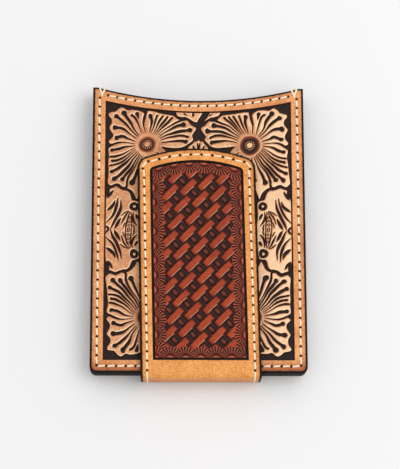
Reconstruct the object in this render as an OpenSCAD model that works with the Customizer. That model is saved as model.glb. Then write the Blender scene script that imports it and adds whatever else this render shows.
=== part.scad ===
// Leather money clip: a card case with a tooled front, and a strap that is sewn
// to the back, turns round the bottom edge and lies on the front as a magnetic flap.
// It lies on its back: X runs across, Y runs towards the pocket's mouth, Z is up.

/* [Card case] */
// Width of the case
case_w = 66; // [60:0.5:80]
// Height of the case at its top corners
case_h = 90.5; // [85:0.5:110]
// Radius of the case's bottom corners
case_corner_r = 2; // [1:0.1:4]
// Depth of the thumb scoop in the top edge
scoop_depth = 4.2; // [2:0.1:8]
// Straight land that is left at each end of the scoop
scoop_land = 1.5; // [0.5:0.1:3]

/* [Case leathers] */
// Thickness of the tooled front panel
front_panel_t = 1.6; // [1.3:0.1:2.4]
// Thickness of the lining behind the front panel
front_lining_t = 1.0; // [0.8:0.1:1.6]
// Height of the card pocket between the linings
pocket_gap = 1.2; // [0.8:0.1:5]
// Width of the welt that closes the pocket's sides and bottom
welt_w = 4; // [3:0.1:5.5]
// Thickness of the lining inside the back panel
back_lining_t = 0.6; // [0.4:0.1:1.2]
// Thickness of the back panel
back_panel_t = 1.6; // [1.2:0.1:2.4]

/* [Carved field] */
// Plain border left round the carved field
field_border = 4; // [3.4:0.1:7]
// Depth that the carved field is sunk
field_sink = 0.3; // [0.1:0.05:0.6]

/* [Strap] */
// Width of the strap
strap_w = 36.5; // [28:0.5:46]
// Thickness of the strap's outer leather
cover_t = 1.3; // [1.1:0.1:2.4]
// Thickness of the strap's lining
strap_lining_t = 0.7; // [0.7:0.1:1.6]
// Height of the flap's tip above the case's bottom edge
flap_reach = 70; // [55:0.5:84]
// Height of the tail's tip on the back, above the case's bottom edge
tail_reach = 56; // [50:0.5:75]
// Radius of the arch at the strap's two ends
arch_r = 45; // [38:1:90]
// Radius where the arch meets the strap's sides
arch_corner_r = 2.8; // [2.6:0.1:6]
// Gap between the closed flap and the front panel
flap_gap = 0.3; // [0.3:0.1:3]
// Gap between the fold and the case's bottom edge
fold_gap = 0.3; // [0.3:0.1:2]

/* [Woven field] */
// Plain border left round the basket-stamped field
weave_border = 3.9; // [3.4:0.05:6]
// Height of the stamped field's foot above the case's bottom edge
weave_foot = 3.7; // [1:0.1:20]
// Corner radius of the stamped field
weave_corner_r = 1; // [0.5:0.1:3]
// Depth that the stamped field is sunk
weave_sink = 0.3; // [0.1:0.05:0.6]

/* [Magnets] */
// Diameter of each magnet disc
magnet_d = 12; // [8:0.5:14]
// Thickness of each magnet disc
magnet_t = 0.8; // [0.6:0.1:1]
// Distance between the two discs' centres
magnet_pitch = 15; // [14.5:0.5:17]
// Distance from the flap's tip to the discs' centres
magnet_inset = 15; // [12:0.5:25]
// Clearance round a disc in its skived pocket
magnet_clearance = 0.1; // [0.05:0.05:0.3]
// Depth of the pocket skived into each outer leather
magnet_skive = 0.5; // [0.4:0.1:0.6]

/* [Thread] */
// Diameter of the sewing thread
thread_d = 0.5; // [0.3:0.05:0.55]
// Length of one stitch
stitch_pitch = 2.9; // [2:0.1:4]
// Part of the stitch length that dives into the leather
stitch_dive = 0.55; // [0.3:0.05:0.8]
// Distance of the seams from the case's side and bottom edges
seam_margin = 2.1; // [1.6:0.1:3]
// Distance of the scoop seam from the scoop's edge
scoop_seam_margin = 1.8; // [1.4:0.1:3]
// Distance of the strap's seam from its edge
strap_seam_margin = 2; // [1.6:0.1:2.4]
// Room beside the thread in its groove
groove_clearance = 0.15; // [0.05:0.05:0.3]
// Length of the corner tack's legs down the face of the case
tack_leg = 3; // [2:0.1:5]
// Distance between a corner tack's two strands
tack_spread = 1.5; // [1:0.1:3]

/* [Fold] */
// Radius of the bead that the leather bends about
bead_r = 0.6; // [0.5:0.05:0.7]
// Clearance between a bead and the leather that turns on it
bead_clearance = 0.12; // [0.1:0.01:0.2]

/* [Hidden] */
$fn = 96;
THREAD_FN = 24;
TOOL = 200;  // longer than anything that a tool has to cut

tan_leather = "#DD9C62";
lining_leather = "#C08A58";
thread_white = "#F3E7CB";
magnet_steel = "#B9BCC0";

// Heights of the layers above the face that the tail rests on
strap_t = cover_t + strap_lining_t;
back_z = strap_t;
back_lining_z = back_z + back_panel_t;
pocket_z = back_lining_z + back_lining_t;
front_lining_z = pocket_z + pocket_gap;
front_z = front_lining_z + front_lining_t;
face_z = front_z + front_panel_t;
flap_z = face_z + flap_gap;
flap_cover_z = flap_z + strap_lining_t;

// The scoop's circle, and the height of the top edge at a place across the case
scoop_half = case_w / 2 - scoop_land;
scoop_r = (pow(scoop_half, 2) + pow(scoop_depth, 2)) / (2 * scoop_depth);
scoop_y = case_h - scoop_depth + scoop_r;
function top_edge(x) = scoop_y - sqrt(pow(scoop_r, 2) - x * x);

// The fold's two bending axes: the leather's mid-line keeps its length as it opens
fold_reach = fold_gap + strap_t;
bend_r = fold_gap + strap_t / 2;
bend_in = bend_r * PI / 4;
wall_low = back_z + fold_gap;
wall_high = flap_z - fold_gap;
lower_bend = [-bend_in, wall_low - bend_in];
upper_bend = [-bend_in, wall_high + bend_in];

// Seams and tacks
seam_x = case_w / 2 - seam_margin;
groove_w = thread_d + groove_clearance;
stitch_len = stitch_pitch - stitch_dive;
tack_xs = [seam_x - tack_spread, seam_x];
tack_top = top_edge(seam_x + thread_d / 2) + thread_d;

// Magnets: both pairs lie face to face through the closed flap
magnet_y = flap_reach - magnet_inset;
magnet_pocket_d = magnet_d + 2 * magnet_clearance;
lining_skive = magnet_t + magnet_clearance - magnet_skive;

// The object's middle along Y is the origin
middle_y = (max(case_h, tack_top) - fold_reach) / 2;

// ---------- outlines ----------

// The case seen from the front, taken in by inset all round
module case_outline(inset = 0) {
    half = case_w / 2 - inset;
    r = max(case_corner_r - inset, 0.3);
    difference() {
        union() {
            translate([-half, inset + r]) square([2 * half, case_h - 2 * inset - r]);
            translate([-half + r, inset]) square([2 * (half - r), r]);
            for (side = [-1, 1]) translate([side * (half - r), inset + r]) circle(r);
        }
        translate([0, scoop_y]) circle(scoop_r + inset, $fn = 4 * $fn);
    }
}

// Where the arch's circle and a corner's circle are centred, for a strap end taken in by inset
function arch_y(tip) = tip - arch_r;
function corner_x(inset, r) = strap_w / 2 - inset - r;
function corner_y(tip, inset, r) =
    arch_y(tip) + sqrt(pow(arch_r - inset - r, 2) - pow(corner_x(inset, r), 2));

// A strap end with its arched tip, taken in by inset, down to foot
module arch_outline(tip, foot, inset = 0, corner = arch_corner_r) {
    half = strap_w / 2 - inset;
    r = max(corner, 0.3);
    cx = corner_x(inset, r);
    cy = corner_y(tip, inset, r);
    translate([-half, foot]) square([2 * half, cy - foot]);
    for (side = [-1, 1]) translate([side * cx, cy]) circle(r);
    intersection() {
        translate([0, arch_y(tip)]) circle(arch_r - inset, $fn = 4 * $fn);
        polygon([[-cx, cy - 1], [cx, cy - 1], [cx, cy],
                 2 * [cx, cy] - [0, arch_y(tip)], 2 * [-cx, cy] - [0, arch_y(tip)], [-cx, cy]]);
    }
}

// ---------- seams ----------

// One stitch, lying along X
module stitch() {
    rotate([0, 90, 0]) cylinder(d = thread_d, h = stitch_len, center = true, $fn = THREAD_FN);
}

// A straight row of stitches from one point towards another
module stitch_row(from, to) {
    run = to - from;
    count = max(1, round(norm(run) / stitch_pitch));
    for (i = [0:count - 1])
        translate(from + run * (i + 0.5) / count) rotate(atan2(run.y, run.x)) stitch();
}

// The case's seam: down one side, along the bottom and up the other
module edge_stitches(z) {
    seam_top = case_h - tack_leg - thread_d;
    translate([0, 0, z]) {
        for (x = [-seam_x, seam_x]) stitch_row([x, seam_margin + groove_w / 2], [x, seam_top]);
        stitch_row([-seam_x, seam_margin], [seam_x, seam_margin]);
    }
}

module edge_groove(z) {
    translate([0, 0, z]) {
        for (x = [-seam_x, seam_x])
            translate([x - groove_w / 2, seam_margin - groove_w / 2, 0])
                cube([groove_w, case_h - tack_leg - seam_margin, thread_d]);
        translate([-seam_x, seam_margin - groove_w / 2, 0]) cube([2 * seam_x, groove_w, thread_d]);
    }
}

// The seam that follows the scoop, between the two side seams
scoop_seam_r = scoop_r + scoop_seam_margin;
scoop_seam_half = tack_xs[0] - thread_d - groove_w;
module scoop_stitches(z) {
    sweep = 2 * asin(scoop_seam_half / scoop_seam_r);
    count = round(sweep * PI / 180 * scoop_seam_r / stitch_pitch);
    translate([0, scoop_y, z])
        for (i = [0:count - 1]) {
            turn = ((i + 0.5) / count - 0.5) * sweep;
            rotate(turn) translate([0, -scoop_seam_r, 0]) stitch();
        }
}

module scoop_groove(z) {
    translate([0, 0, z]) linear_extrude(thread_d) intersection() {
        translate([0, scoop_y]) difference() {
            circle(scoop_seam_r + groove_w / 2, $fn = 4 * $fn);
            circle(scoop_seam_r - groove_w / 2, $fn = 4 * $fn);
        }
        translate([-scoop_seam_half, 0]) square([2 * scoop_seam_half, TOOL]);
    }
}

// The strap's seam: round the tip from its middle, then down a side. A place on it at length s
// from the middle is [x, y, heading], for the right-hand side.
seam_corner_r = max(arch_corner_r - strap_seam_margin, 0.3);
seam_corner_x = corner_x(strap_seam_margin, seam_corner_r);
seam_arch_r = arch_r - strap_seam_margin;
function seam_corner_y(tip) = corner_y(tip, strap_seam_margin, seam_corner_r);
lean = acos(seam_corner_x / (seam_arch_r - seam_corner_r));
arch_len = seam_arch_r * (90 - lean) * PI / 180;
corner_len = seam_corner_r * lean * PI / 180;
function on_arch(a, tip) = [seam_arch_r * cos(a), arch_y(tip) + seam_arch_r * sin(a), a - 90];
function on_corner(a, tip) =
    [seam_corner_x + seam_corner_r * cos(a), seam_corner_y(tip) + seam_corner_r * sin(a), a - 90];
function on_seam(s, tip) =
    s < arch_len ? on_arch(90 - s / seam_arch_r * 180 / PI, tip)
    : s < arch_len + corner_len ? on_corner(lean - (s - arch_len) / seam_corner_r * 180 / PI, tip)
    : [seam_corner_x + seam_corner_r, seam_corner_y(tip) - (s - arch_len - corner_len), -90];

module arch_stitches(tip, foot, z) {
    // a stitch turns the corner with its middle on the corner's arc
    top_len = arch_len + corner_len / 2;
    top_count = floor(top_len / stitch_pitch);
    side_y = on_seam(top_len + stitch_pitch / 2, tip).y;
    translate([0, 0, z]) for (side = [0, 1]) mirror([side, 0, 0]) {
        for (i = [side:top_count]) {
            p = on_seam(i * top_len / top_count, tip);
            translate([p.x, p.y, 0]) rotate(p.z) stitch();
        }
        stitch_row([seam_corner_x + seam_corner_r, side_y], [seam_corner_x + seam_corner_r, foot]);
    }
}

module arch_groove(tip, z) {
    half = groove_w / 2;
    translate([0, 0, z]) linear_extrude(thread_d) difference() {
        arch_outline(tip, -TOOL / 2, strap_seam_margin - half, seam_corner_r + half);
        arch_outline(tip, -TOOL, strap_seam_margin + half, seam_corner_r - half);
    }
    // room for the stitch that turns each corner
    for (side = [0, 1]) mirror([side, 0, 0]) {
        p = on_seam(arch_len + corner_len / 2, tip);
        translate([p.x, p.y, z + thread_d / 2]) rotate(p.z)
            cube([stitch_len + groove_clearance, groove_w, thread_d], center = true);
    }
}

// ---------- magnets ----------

module magnet_pair(d, t, z) {
    for (side = [-1, 1])
        translate([side * magnet_pitch / 2, magnet_y, z]) cylinder(d = d, h = t);
}

// ---------- card case ----------

module front_panel() {
    color(tan_leather) difference() {
        translate([0, 0, front_z]) linear_extrude(front_panel_t) case_outline();
        translate([0, 0, face_z - field_sink]) linear_extrude(TOOL) case_outline(field_border);
        edge_groove(face_z - thread_d);
        scoop_groove(face_z - thread_d);
        magnet_pair(magnet_pocket_d, magnet_skive, front_z);
    }
}

module front_lining() {
    color(lining_leather) difference() {
        translate([0, 0, front_lining_z]) linear_extrude(front_lining_t) case_outline();
        magnet_pair(magnet_pocket_d, lining_skive, front_z - lining_skive);
    }
}

module case_magnets() {
    color(magnet_steel) magnet_pair(magnet_d, magnet_t, front_z - lining_skive);
}

// A strip round the sides and bottom, open at the mouth
module pocket_welt() {
    color(lining_leather) translate([0, 0, pocket_z]) linear_extrude(pocket_gap) difference() {
        case_outline();
        translate([welt_w - case_w / 2, welt_w]) square([case_w - 2 * welt_w, TOOL]);
    }
}

module back_lining() {
    color(lining_leather) translate([0, 0, back_lining_z]) linear_extrude(back_lining_t)
        case_outline();
}

module back_panel() {
    color(tan_leather) difference() {
        translate([0, 0, back_z]) linear_extrude(back_panel_t) case_outline();
        edge_groove(back_z);
        scoop_groove(back_z);
    }
}

module edge_seam_front() { color(thread_white) edge_stitches(face_z - thread_d / 2); }
module edge_seam_back() {
    // the tail covers the middle of the bottom run
    color(thread_white) edge_stitches(back_z + thread_d / 2);
}
module front_scoop_seam() { color(thread_white) scoop_stitches(face_z - thread_d / 2); }
module back_scoop_seam() { color(thread_white) scoop_stitches(back_z + thread_d / 2); }

// Each top corner's two strands pass over the mouth's edge, from the front to the back
module corner_tacks() {
    color(thread_white) for (side = [0, 1]) mirror([side, 0, 0]) for (x = tack_xs) {
        top = top_edge(x + thread_d / 2);
        translate([x - thread_d / 2, 0, 0]) difference() {
            translate([0, case_h - tack_leg, back_z - thread_d])
                cube([thread_d, top + thread_d - case_h + tack_leg, face_z - back_z + 2 * thread_d]);
            translate([-1, case_h - TOOL, back_z]) cube([TOOL, top - case_h + TOOL, face_z - back_z]);
        }
    }
}

// ---------- strap: tail on the back, fold, flap on the front ----------

// The room that a bead and its web need beside the leather that turns on them
module bead_room(bend, up) {
    r = bead_r + bead_clearance;
    translate([0, bend.x, bend.y]) {
        rotate([0, 90, 0]) cylinder(r = r, h = TOOL, center = true);
        translate([-TOOL / 2, -TOOL + r, up > 0 ? 0 : -TOOL]) cube([TOOL, TOOL, TOOL]);
    }
}

module tail_cover() {
    color(tan_leather) difference() {
        linear_extrude(cover_t) arch_outline(tail_reach, lower_bend.x);
        arch_groove(tail_reach, 0);
        bead_room(lower_bend, 1);
    }
}

module tail_lining() {
    color(lining_leather) difference() {
        translate([0, 0, cover_t]) linear_extrude(strap_lining_t)
            arch_outline(tail_reach, lower_bend.x);
        bead_room(lower_bend, 1);
    }
}

module tail_seam() { color(thread_white) arch_stitches(tail_reach, thread_d, thread_d / 2); }

// The outer leather where it stands up below the case's bottom edge
module fold_cover() {
    groove_x = seam_corner_x + seam_corner_r;
    color(tan_leather) difference() {
        translate([-strap_w / 2, -fold_reach, wall_low])
            cube([strap_w, cover_t, wall_high - wall_low]);
        for (side = [-1, 1])
            translate([side * groove_x - groove_w / 2, -fold_reach, wall_low])
                cube([groove_w, thread_d, TOOL]);
    }
}

// The lining inside it, with a bead at each bend
module fold_lining() {
    color(lining_leather) {
        translate([-strap_w / 2, -fold_gap - strap_lining_t, wall_low])
            cube([strap_w, strap_lining_t, wall_high - wall_low]);
        for (bend = [lower_bend, upper_bend]) translate([-strap_w / 2, bend.x, bend.y])
            rotate([0, 90, 0]) cylinder(r = bead_r, h = strap_w);
        translate([-strap_w / 2, lower_bend.x - bead_r, lower_bend.y])
            cube([strap_w, 2 * bead_r, wall_low - lower_bend.y]);
        translate([-strap_w / 2, upper_bend.x - bead_r, wall_high])
            cube([strap_w, 2 * bead_r, upper_bend.y - wall_high]);
    }
}

module fold_seam() {
    groove_x = seam_corner_x + seam_corner_r;
    color(thread_white) for (side = [-1, 1])
        translate([side * groove_x, thread_d / 2 - fold_reach, wall_low]) rotate([0, -90, 0])
            stitch_row([0, 0], [wall_high - wall_low, 0]);
}

module flap_cover() {
    top_z = flap_cover_z + cover_t;
    color(tan_leather) difference() {
        translate([0, 0, flap_cover_z]) linear_extrude(cover_t)
            arch_outline(flap_reach, upper_bend.x);
        translate([0, 0, top_z - weave_sink]) linear_extrude(TOOL)
            arch_outline(flap_reach, weave_foot, weave_border, weave_corner_r);
        arch_groove(flap_reach, top_z - thread_d);
        magnet_pair(magnet_pocket_d, magnet_skive, flap_cover_z);
        bead_room(upper_bend, -1);
    }
}

module flap_lining() {
    color(lining_leather) difference() {
        translate([0, 0, flap_z]) linear_extrude(strap_lining_t)
            arch_outline(flap_reach, upper_bend.x);
        arch_groove(flap_reach, flap_z);
        magnet_pair(magnet_pocket_d, lining_skive, flap_cover_z - lining_skive);
        bead_room(upper_bend, -1);
    }
}

module flap_magnets() {
    color(magnet_steel) magnet_pair(magnet_d, magnet_t, flap_cover_z - lining_skive);
}

module flap_seam_front() {
    color(thread_white)
        arch_stitches(flap_reach, thread_d, flap_cover_z + cover_t - thread_d / 2);
}

module flap_seam_back() {
    color(thread_white) arch_stitches(flap_reach, thread_d, flap_z + thread_d / 2);
}

translate([0, -middle_y, 0]) {
    front_panel();
    front_lining();
    case_magnets();
    pocket_welt();
    back_lining();
    back_panel();
    edge_seam_front();
    edge_seam_back();
    front_scoop_seam();
    back_scoop_seam();
    corner_tacks();
    tail_cover();
    tail_lining();
    tail_seam();
    fold_cover();
    fold_lining();
    fold_seam();
    flap_cover();
    flap_lining();
    flap_magnets();
    flap_seam_front();
    flap_seam_back();
}
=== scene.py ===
import math
import bpy
import bmesh
import numpy as np
from mathutils import Matrix, Vector


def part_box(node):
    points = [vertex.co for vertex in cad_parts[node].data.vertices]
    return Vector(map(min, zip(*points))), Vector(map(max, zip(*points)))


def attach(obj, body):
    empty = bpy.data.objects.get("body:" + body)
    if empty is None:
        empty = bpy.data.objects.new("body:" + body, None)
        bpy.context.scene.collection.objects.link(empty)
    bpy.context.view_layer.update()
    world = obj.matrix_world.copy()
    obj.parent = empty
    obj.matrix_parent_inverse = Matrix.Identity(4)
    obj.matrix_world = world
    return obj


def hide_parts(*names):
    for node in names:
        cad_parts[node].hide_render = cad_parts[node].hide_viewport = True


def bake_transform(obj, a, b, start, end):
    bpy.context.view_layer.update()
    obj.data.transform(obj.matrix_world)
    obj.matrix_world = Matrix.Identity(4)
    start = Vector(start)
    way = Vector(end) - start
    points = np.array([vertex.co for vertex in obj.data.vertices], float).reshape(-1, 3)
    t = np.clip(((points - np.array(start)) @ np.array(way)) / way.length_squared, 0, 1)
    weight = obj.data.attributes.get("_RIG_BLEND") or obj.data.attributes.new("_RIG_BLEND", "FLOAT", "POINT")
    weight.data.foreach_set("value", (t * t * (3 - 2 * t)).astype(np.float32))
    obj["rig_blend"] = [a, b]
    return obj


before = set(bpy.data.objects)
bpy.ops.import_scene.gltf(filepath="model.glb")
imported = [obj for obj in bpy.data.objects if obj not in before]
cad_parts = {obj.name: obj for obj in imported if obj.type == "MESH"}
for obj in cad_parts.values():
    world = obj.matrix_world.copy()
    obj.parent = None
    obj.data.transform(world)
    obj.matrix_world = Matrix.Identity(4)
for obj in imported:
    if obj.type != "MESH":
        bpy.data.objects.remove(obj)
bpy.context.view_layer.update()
mm = 0.001


# Places that the frame gives, in millimetres

def boxOf(node):
    low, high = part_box(node)
    return np.array(low) / mm, np.array(high) / mm


caseLow, backTop = boxOf("back_panel")
panelLow, panelHigh = boxOf("front_panel")
coverHigh = boxOf("flap_cover")[1]
flapLiningLow, flapLiningHigh = boxOf("flap_lining")
tailLow, tailHigh = boxOf("tail_cover")
foldLow, foldHigh = boxOf("fold_cover")
foot = caseLow[1]             # the case's bottom edge
caseHalf = panelHigh[0]
caseHeight = panelHigh[1] - foot
faceZ = panelHigh[2]
backZ = caseLow[2]
strapHalf = coverHigh[0]
strapTopZ = coverHigh[2]
strapThickness = strapTopZ - flapLiningLow[2]
liningThickness = flapLiningHigh[2] - flapLiningLow[2]
flapReach = coverHigh[1] - foot
tailReach = tailHigh[1] - foot

caseShape = dict(cornerRadius=2.0, scoopDepth=4.2, scoopLand=1.5, border=4.0, topBorder=3.7,
                 seamMargin=2.1, scoopSeamMargin=1.8, roundOver=0.42, carvingStep=0.125, rimDepth=0.5)
scoopHalf = caseHalf - caseShape["scoopLand"]
scoopRadius = (scoopHalf ** 2 + caseShape["scoopDepth"] ** 2) / (2 * caseShape["scoopDepth"])


def topEdge(x, inset=0.0):
    # height of the mouth's edge above the case's foot, taken in by inset
    reach = (scoopRadius + inset) ** 2 - np.square(x)
    arc = caseHeight - caseShape["scoopDepth"] + scoopRadius - np.sqrt(np.maximum(reach, 0))
    return np.minimum(arc, caseHeight - inset)


# Small helpers

def deselect():
    if bpy.context.object and bpy.context.object.mode != "OBJECT":
        bpy.ops.object.mode_set(mode="OBJECT")
    bpy.ops.object.select_all(action="DESELECT")


def pick(piece):
    deselect()
    piece.select_set(True)
    bpy.context.view_layer.objects.active = piece


def smooth(start, end, value):
    t = np.clip((value - start) / (end - start), 0, 1)
    return t * t * (3 - 2 * t)


def bellCurve(value, middle, spread):
    return np.exp(-np.square((value - middle) / spread))


def curveThrough(points, steps=6, closed=False):
    # a smooth line through a few points
    p = np.array(points, float)
    count = len(p)
    if closed:
        before, after, past = np.roll(p, 1, 0), np.roll(p, -1, 0), np.roll(p, -2, 0)
        start = p
    else:
        if count == 2:
            p = np.array([p[0], (p[0] + p[1]) / 2, p[1]])
        before = np.vstack([2 * p[0] - p[1], p[:-2]])
        start, after = p[:-1], p[1:]
        past = np.vstack([p[2:], 2 * p[-1] - p[-2]])
    line = []
    for i in range(len(start)):
        for t in np.arange(steps) / steps:
            a, b, c, d = before[i], start[i], after[i], past[i]
            line.append(0.5 * (2 * b + (c - a) * t + (2 * a - 5 * b + 4 * c - d) * t * t
                               + (3 * b - a - 3 * c + d) * t ** 3))
    if not closed:
        line.append(p[-1])
    return np.array(line)


def nearTo(x, y, low, high, room):
    return np.flatnonzero((x > low[0] - room) & (x < high[0] + room)
                          & (y > low[1] - room) & (y < high[1] + room))


def lineGap(x, y, line, halves, gap):
    # lowers gap to the distance from a line's edge; halves are its half widths along the way
    near = nearTo(x, y, line.min(0), line.max(0), 1.6)
    if not len(near):
        return
    px, py = x[near], y[near]
    best = gap[near]
    halves = np.interp(np.linspace(0, 1, len(line)), np.linspace(0, 1, len(halves)), halves)
    for i in range(len(line) - 1):
        a, run = line[i], line[i + 1] - line[i]
        t = np.clip(((px - a[0]) * run[0] + (py - a[1]) * run[1]) / max(run @ run, 1e-9), 0, 1)
        half = halves[i] + (halves[i + 1] - halves[i]) * t
        away = np.hypot(px - a[0] - t * run[0], py - a[1] - t * run[1]) - half
        best = np.minimum(best, away)
    gap[near] = best


def outlineGap(x, y, outline, room=2.5):
    # distance inside a closed outline: positive within, negative outside, -room far away
    gap = np.full(x.shape, -room)
    near = nearTo(x, y, outline.min(0), outline.max(0), room)
    if not len(near):
        return gap
    px, py = x[near], y[near]
    best = np.full(px.shape, 1e9)
    inside = np.zeros(px.shape, bool)
    for a, b in zip(outline, np.roll(outline, -1, 0)):
        run = b - a
        t = np.clip(((px - a[0]) * run[0] + (py - a[1]) * run[1]) / max(run @ run, 1e-9), 0, 1)
        best = np.minimum(best, np.hypot(px - a[0] - t * run[0], py - a[1] - t * run[1]))
        crosses = (a[1] > py) != (b[1] > py)
        if a[1] != b[1]:
            inside ^= crosses & (px < a[0] + (py - a[1]) / (b[1] - a[1]) * run[0])
    gap[near] = np.where(inside, best, -best)
    return gap


def graded(stops):
    # positions from a list of (place, step to the next place) pairs
    places = []
    for (a, step), (b, _) in zip(stops[:-1], stops[1:]):
        count = max(1, int(round((b - a) / step)))
        places += list(a + (b - a) * np.arange(count) / count)
    places.append(stops[-1][0])
    return np.array(places)


# Leather sheets

def cornersOf(x, y, half, low, high, radius, atTop):
    # the middles of the two round corners at the top or the foot, and how far places lie past them
    for side in (-1, 1):
        cx = side * (half - radius)
        cy = high - radius if atTop else low + radius
        yield cx, cy, (x - cx) * side, (y - cy) * (1 if atTop else -1)


def roundCorners(x, y, *outline):
    # draws the grid's two square corners in to round ones
    for cx, cy, ax, ay in cornersOf(x, y, *outline):
        inCorner = (ax > 0) & (ay > 0)
        pull = np.where(inCorner, np.maximum(ax, ay) / np.maximum(np.hypot(ax, ay), 1e-9), 1)
        x = np.where(inCorner, cx + (x - cx) * pull, x)
        y = np.where(inCorner, cy + (y - cy) * pull, y)
    return x, y


def edgeDistance(x, y, half, low, high, radius, atTop):
    # distance from the outline of a sheet with those round corners
    away = np.minimum(half - np.abs(x), np.minimum(y - low, high - y))
    for _, _, ax, ay in cornersOf(x, y, half, low, high, radius, atTop):
        away = np.where((ax > 0) & (ay > 0), radius - np.hypot(ax, ay), away)
    return away


# Steps between the rows and columns of a sheet, in millimetres
sheetSteps = dict(rim=0.08, rimReach=0.6, border=0.2, seam=0.17, seamReach=3.2, along=0.19, plain=1.2)


def stopsToEnd(end):
    # the last fine steps up to a sheet's rim
    return [(end - sheetSteps["rimReach"], sheetSteps["rim"]), (end, 1)]


def stopsAcross(half, border, borderStep, middleStep):
    # fine steps at both rims, wider ones over the borders, and another step between them
    reach = sheetSteps["rimReach"]
    return [(-half, sheetSteps["rim"]), (reach - half, borderStep), (border - half, middleStep),
            (half - border, borderStep)] + stopsToEnd(half)


def makeSheet(name, top, under, values, strips="rows"):
    # top and under are places for every row and column; the sheet is closed along its rim
    rows, columns = top.shape[:2]
    deselect()
    bpy.ops.mesh.primitive_grid_add(x_subdivisions=columns - 1, y_subdivisions=rows - 1, size=2,
                                    location=(0, 0, 0))
    sheet = bpy.context.object
    sheet.name = sheet.data.name = name
    mesh = sheet.data
    flat = np.empty(len(mesh.vertices) * 3)
    mesh.vertices.foreach_get("co", flat)
    flat = flat.reshape(-1, 3)
    column = np.rint((flat[:, 0] + 1) / 2 * (columns - 1)).astype(int)
    row = np.rint((flat[:, 1] + 1) / 2 * (rows - 1)).astype(int)
    mesh.vertices.foreach_set("co", (top[row, column] * mm).ravel())
    for key, value in values.items():
        layer = mesh.attributes.new(key, "FLOAT", "POINT")
        layer.data.foreach_set("value", value[row, column].astype(np.float32))
    index = np.empty((rows, columns), int)
    index[row, column] = np.arange(len(row))
    bm = bmesh.new()
    bm.from_mesh(mesh)
    above = list(bm.verts)
    rim = [(r, 0) for r in range(rows)] + [(rows - 1, c) for c in range(1, columns)]
    rim += [(r, columns - 1) for r in range(rows - 2, -1, -1)]
    rim += [(0, c) for c in range(columns - 2, 0, -1)]
    lower = {}
    for place in rim:
        vertex = bm.verts.new(under[place] * mm)
        for key in values:
            layer = bm.verts.layers.float[key]
            vertex[layer] = above[index[place]][layer]
        lower[place] = vertex
    for a, b in zip(rim, rim[1:] + rim[:1]):
        bm.faces.new((above[index[a]], above[index[b]], lower[b], lower[a]))
    # the underside is closed with strips that run the same way as the sheet bends
    outer, inner = (rows - 1, columns - 1) if strips == "rows" else (columns - 1, rows - 1)

    def at(i, j):
        return lower[(i, j) if strips == "rows" else (j, i)]

    bm.faces.new([at(0, j) for j in range(inner + 1)] + [at(1, inner), at(1, 0)])
    for i in range(1, outer - 1):
        bm.faces.new((at(i, 0), at(i, inner), at(i + 1, inner), at(i + 1, 0)))
    bm.faces.new([at(outer - 1, 0), at(outer - 1, inner)] + [at(outer, j) for j in range(inner, -1, -1)])
    bmesh.ops.recalc_face_normals(bm, faces=bm.faces)
    bm.to_mesh(mesh)
    bm.free()
    pick(sheet)
    bpy.ops.object.shade_smooth_by_angle(angle=math.radians(60))
    return sheet


# Stitches: their places come from the frame's own seams

def stitchesOf(node):
    # middle, direction and length of every stitch in a seam, in millimetres
    seam = bpy.data.objects[node]
    bm = bmesh.new()
    bm.from_mesh(seam.data)
    bmesh.ops.remove_doubles(bm, verts=bm.verts, dist=1e-6)
    seen, found = set(), []
    for start in bm.verts:
        if start.index in seen:
            continue
        island, queue = [], [start]
        seen.add(start.index)
        while queue:
            vertex = queue.pop()
            island.append(vertex.co)
            for edge in vertex.link_edges:
                other = edge.other_vert(vertex)
                if other.index not in seen:
                    seen.add(other.index)
                    queue.append(other)
        places = np.array(island) / mm
        middle = (places.max(0) + places.min(0)) / 2
        spread = places - places.mean(0)
        axis = np.linalg.svd(spread, full_matrices=False)[2][0]
        reach = spread @ axis
        found.append((middle, axis, reach.max() - reach.min()))
    bm.free()
    return found


def holesOf(stitches, spare=0.27):
    # the needle holes at both ends of every stitch
    ends = []
    for middle, axis, length in stitches:
        for side in (-1, 1):
            ends.append(middle + side * axis * (length / 2 + spare))
    holes = []
    for end in ends:
        near = [i for i, other in enumerate(holes) if np.linalg.norm(end - other) < 1.2]
        if near:
            holes[near[0]] = (holes[near[0]] + end) / 2
        else:
            holes.append(end)
    return np.array(holes) - [0, foot, 0]


# The carving: flowers in the four corners, leaves between them

# All of it is drawn once, for the corner at the upper left, from the flower's middle
carving = dict(flowerX=16.0, flowerY=27.3, middleY=44.5, discRadius=3.6, beadRing=1.32, beads=13,
               buttonRadius=0.75, cutDepth=0.42, groundDepth=0.55, dishDepth=0.34,
               podBead=0.34, podBeadHalf=0.12, swell=0.07, beadHeight=0.18, buttonHeight=0.1,
               stipple=0.06, stippleRub=0.24, shade=0.36, blush=0.30, leftShade=0.16, rightSheen=0.42,
               veinHalves=(0.11, 0.24, 0.42, 0.48, 0.38))

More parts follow.
